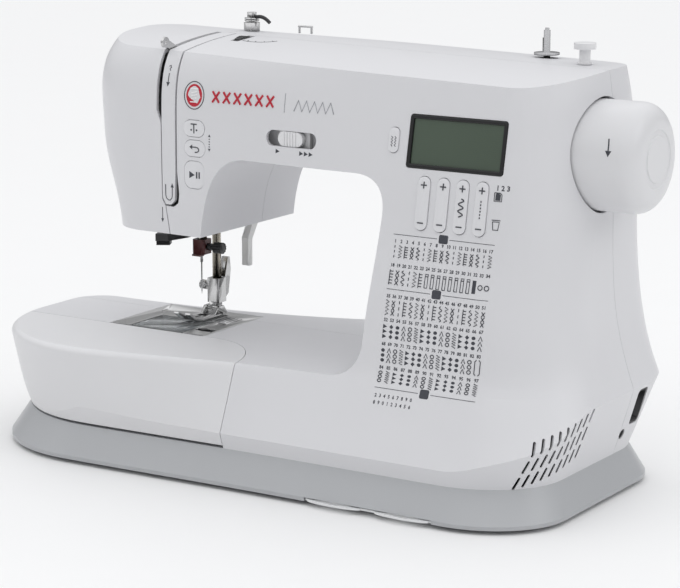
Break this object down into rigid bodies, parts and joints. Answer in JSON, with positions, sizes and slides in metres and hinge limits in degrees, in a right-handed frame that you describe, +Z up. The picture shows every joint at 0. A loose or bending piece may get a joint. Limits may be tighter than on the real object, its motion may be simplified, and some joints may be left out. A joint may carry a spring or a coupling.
{
  "type": "sewing machine",
  "caption": "Electronic free-arm sewing machine with a side display, rocker keys, handwheel, extension table and pull-out chart.",
  "frame": {"origin": "middle of the footprint's box, on the table under the feet", "axes": "+X towards the handwheel, -Y towards the person sewing, +Z up"},
  "size_m": [0.475, 0.205, 0.2962],
  "materials": {
    "shell_plastic": "satin off-white moulded ABS",
    "table_plastic": "satin off-white moulded ABS",
    "base_plastic": "satin silver-grey moulded plastic",
    "foot_rubber": "dull black rubber",
    "chart_plastic": "thin white plastic",
    "cast_frame": "as-cast aluminium",
    "sintered_bush": "sintered bronze",
    "shaft_steel": "ground steel",
    "bar_nickel": "warm bright nickel plate",
    "holder_steel": "nickel-plated, slightly dull",
    "plate_steel": "brushed along its length",
    "clamp_dark": "dark satin",
    "screw_black": "black oxide",
    "gear_plastic": "natural nylon",
    "belt_rubber": "black toothed rubber",
    "motor_paint": "black enamel",
    "wheel_plastic": "satin off-white",
    "case_plastic": "matt black",
    "clear_plastic": "clear polycarbonate",
    "lever_plastic": "satin white",
    "key_plastic": "satin white",
    "knob_plastic": "satin light grey",
    "bezel_plastic": "matt black",
    "lcd_glass": "grey-green liquid-crystal glass",
    "board_laminate": "green board laminate",
    "winder_plastic": "satin white",
    "spindle_steel": "steel with a spring clip"
  },
  "bodies": {
    "machine": {"arm_frame": "cast_frame", "base_tray": "base_plastic", "bed_frame": "cast_frame", "bobbin_case": "case_plastic", "circuit_boards": "board_laminate", "drive_belts": "belt_rubber", "face_cover": "shell_plastic", "frame_screws": "shaft_steel", "front_casing": "shell_plastic", "lcd_bezel": "bezel_plastic", "lcd_module": "lcd_glass", "motor_case": "motor_paint", "needle_plate": "plate_steel", "pedal_jack": "case_plastic", "plate_screws": "holder_steel", "power_inlet": "case_plastic", "presser_spring": "shaft_steel", "rear_casing": "shell_plastic", "rubber_feet": "foot_rubber", "shaft_bushes": "sintered_bush", "tension_unit": "shaft_steel", "thread_guides": "shaft_steel", "thread_strip": "shell_plastic", "winder_stop": "winder_plastic"},
    "table": {"extension_table": "table_plastic"},
    "chart": {"reference_tray": "chart_plastic"},
    "drive": {"handwheel": "wheel_plastic", "main_shaft": "shaft_steel", "crank_disc": "shaft_steel", "upper_pulley": "gear_plastic"},
    "lower_drive": {"lower_shaft": "shaft_steel", "lower_wheels": "gear_plastic"},
    "hook": {"rotary_hook": "shaft_steel"},
    "rotor": {"motor_rotor": "shaft_steel"},
    "needle_group": {"needle_bar": "bar_nickel", "needle_clamp": "clamp_dark", "clamp_screw": "screw_black", "needle": "shaft_steel"},
    "take_up": {"take_up_lever": "shaft_steel"},
    "presser": {"presser_bar": "bar_nickel", "foot_holder": "holder_steel"},
    "foot": {"presser_foot": "holder_steel"},
    "lifter": {"presser_lifter": "lever_plastic"},
    "threader": {"needle_threader": "case_plastic"},
    "position_key": {"needle_position_button": "key_plastic"},
    "reverse_key": {"reverse_button": "key_plastic"},
    "start_key": {"start_stop_button": "key_plastic"},
    "mirror_key": {"mirror_button": "key_plastic"},
    "key_1": {"rocker_key_1": "key_plastic"},
    "key_2": {"rocker_key_2": "key_plastic"},
    "key_3": {"rocker_key_3": "key_plastic"},
    "key_4": {"rocker_key_4": "key_plastic"},
    "speed": {"speed_slider": "knob_plastic"},
    "bobbin": {"bobbin": "clear_plastic"},
    "cover": {"bobbin_cover": "clear_plastic"},
    "release": {"cover_release": "case_plastic"},
    "winder_carriage": {"winder_arm": "gear_plastic"},
    "winder": {"winder_spindle": "spindle_steel"},
    "feed": {"feed_dog": "shaft_steel"},
    "dial": {"tension_dial": "case_plastic"}
  },
  "joints": [
    {"name": "table_slide", "type": "slide", "parent": "machine", "child": "table", "axis": [-1, 0, 0], "range_m": [0, 0.15]},
    {"name": "chart_slide", "type": "slide", "parent": "machine", "child": "chart", "axis": [0, -1, 0], "range_m": [0, 0.045]},
    {"name": "handwheel_spin", "type": "hinge", "parent": "machine", "child": "drive", "pos_m": [0.191, 0.0255, 0.223], "axis": [1, 0, 0], "continuous": true},
    {"name": "lower_shaft_spin", "type": "hinge", "parent": "machine", "child": "lower_drive", "pos_m": [-0.0075, 0.0255, 0.052], "axis": [1, 0, 0], "continuous": true},
    {"name": "hook_spin", "type": "hinge", "parent": "machine", "child": "hook", "pos_m": [-0.1215, 0.0085, 0.06], "axis": [0, 0, 1], "continuous": true},
    {"name": "motor_spin", "type": "hinge", "parent": "machine", "child": "rotor", "pos_m": [0.1185, 0.0505, 0.096], "axis": [1, 0, 0], "continuous": true},
    {"name": "needle_bar_slide", "type": "slide", "parent": "machine", "child": "needle_group", "axis": [0, 0, 1], "range_m": [-0.03, 0.001]},
    {"name": "take_up_swing", "type": "hinge", "parent": "machine", "child": "take_up", "pos_m": [-0.1051, 0.0555, 0.238], "axis": [1, 0, 0], "range_deg": [0, 26]},
    {"name": "presser_bar_lift", "type": "slide", "parent": "machine", "child": "presser", "axis": [0, 0, 1], "range_m": [0, 0.006], "stiffness_N_per_m": 500, "springref_m": -0.01, "deforming": ["presser_spring"]},
    {"name": "foot_tilt", "type": "hinge", "parent": "presser", "child": "foot", "pos_m": [-0.1125, 0.0375, 0.0849], "axis": [1, 0, 0], "range_deg": [-4.5, 1]},
    {"name": "lifter_swing", "type": "hinge", "parent": "machine", "child": "lifter", "pos_m": [-0.105, 0.0685, 0.168], "axis": [1, 0, 0], "range_deg": [0, 60.2]},
    {"name": "threader_slide", "type": "slide", "parent": "machine", "child": "threader", "axis": [0, 0, -1], "range_m": [0, 0.025], "stiffness_N_per_m": 30, "springref_m": -0.01},
    {"name": "needle_position_press", "type": "slide", "parent": "machine", "child": "position_key", "axis": [0, 1, 0], "range_m": [0, 0.0015], "stiffness_N_per_m": 400, "springref_m": -0.001},
    {"name": "reverse_press", "type": "slide", "parent": "machine", "child": "reverse_key", "axis": [0, 1, 0], "range_m": [0, 0.0015], "stiffness_N_per_m": 400, "springref_m": -0.001},
    {"name": "start_stop_press", "type": "slide", "parent": "machine", "child": "start_key", "axis": [0, 1, 0], "range_m": [0, 0.0015], "stiffness_N_per_m": 400, "springref_m": -0.001},
    {"name": "mirror_press", "type": "slide", "parent": "machine", "child": "mirror_key", "axis": [0, 0.9804, -0.1969], "range_m": [0, 0.0015], "stiffness_N_per_m": 400, "springref_m": -0.001},
    {"name": "key_1_rock", "type": "hinge", "parent": "machine", "child": "key_1", "pos_m": [0.1085, -0.04248, 0.1935], "axis": [1, 0, 0], "range_deg": [-1.5, 1.5], "stiffness_Nm_per_rad": 0.5},
    {"name": "key_2_rock", "type": "hinge", "parent": "machine", "child": "key_2", "pos_m": [0.1225, -0.04248, 0.1935], "axis": [1, 0, 0], "range_deg": [-1.5, 1.5], "stiffness_Nm_per_rad": 0.5},
    {"name": "key_3_rock", "type": "hinge", "parent": "machine", "child": "key_3", "pos_m": [0.1365, -0.04248, 0.1935], "axis": [1, 0, 0], "range_deg": [-1.5, 1.5], "stiffness_Nm_per_rad": 0.5},
    {"name": "key_4_rock", "type": "hinge", "parent": "machine", "child": "key_4", "pos_m": [0.1505, -0.04248, 0.1935], "axis": [1, 0, 0], "range_deg": [-1.5, 1.5], "stiffness_Nm_per_rad": 0.5},
    {"name": "speed_slide", "type": "slide", "parent": "machine", "child": "speed", "axis": [1, 0, 0], "range_m": [-0.009, 0.011]},
    {"name": "bobbin_spin", "type": "hinge", "parent": "machine", "child": "bobbin", "pos_m": [-0.1215, 0.0085, 0.07], "axis": [0, 0, 1], "continuous": true},
    {"name": "bobbin_cover_lift", "type": "hinge", "parent": "machine", "child": "cover", "pos_m": [-0.1445, 0.019, 0.08], "axis": [1, 0, 0], "range_deg": [-3, 0]},
    {"name": "cover_release_slide", "type": "slide", "parent": "machine", "child": "release", "axis": [1, 0, 0], "range_m": [0, 0.003], "stiffness_N_per_m": 200, "springref_m": -0.002},
    {"name": "winder_shift", "type": "slide", "parent": "machine", "child": "winder_carriage", "axis": [1, 0, 0], "range_m": [0, 0.003]},
    {"name": "winder_spin", "type": "hinge", "parent": "winder_carriage", "child": "winder", "pos_m": [0.1355, 0.0685, 0.252], "axis": [0, 0, 1], "continuous": true},
    {"name": "feed_move", "type": "slide", "parent": "machine", "child": "feed", "axis": [0, 1, 0], "range_m": [-0.0025, 0.0025]},
    {"name": "tension_dial_turn", "type": "hinge", "parent": "machine", "child": "dial", "pos_m": [-0.0755, 0.0235, 0.26806], "axis": [1, 0, 0], "range_deg": [-140, 140]}
  ],
  "couplings": [
    {"joint": "lower_shaft_spin", "follows": "handwheel_spin", "ratio": 1},
    {"joint": "hook_spin", "follows": "handwheel_spin", "ratio": 2},
    {"joint": "motor_spin", "follows": "handwheel_spin", "ratio": 2.6},
    {"joint": "lifter_swing", "follows": "presser_bar_lift", "rad_per_m": 174.5}
  ]
}
